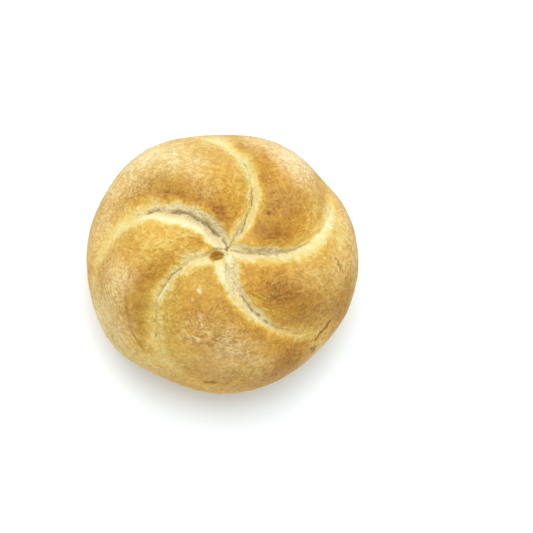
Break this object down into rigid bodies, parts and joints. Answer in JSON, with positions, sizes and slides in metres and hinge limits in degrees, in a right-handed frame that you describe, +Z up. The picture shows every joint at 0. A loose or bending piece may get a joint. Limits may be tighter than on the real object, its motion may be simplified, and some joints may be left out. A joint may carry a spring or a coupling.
{
  "type": "kaiser roll",
  "caption": "Round crusty wheat roll whose domed crown is parted by curved cuts into puffed lobes that wind round a sunken star.",
  "frame": {"origin": "middle of the underside of the roll's box, on the surface that it lies on", "axes": "+Z up through the crown, +X to the right and +Y away from the viewer in the picture's view"},
  "size_m": [0.1066, 0.1026, 0.0578],
  "materials": {
    "crust": "baked wheat crust, matt, golden brown on the lobes and pale cream in the cuts"
  },
  "bodies": {
    "root": {"kaiser_roll": "crust"}
  },
  "joints": []
}
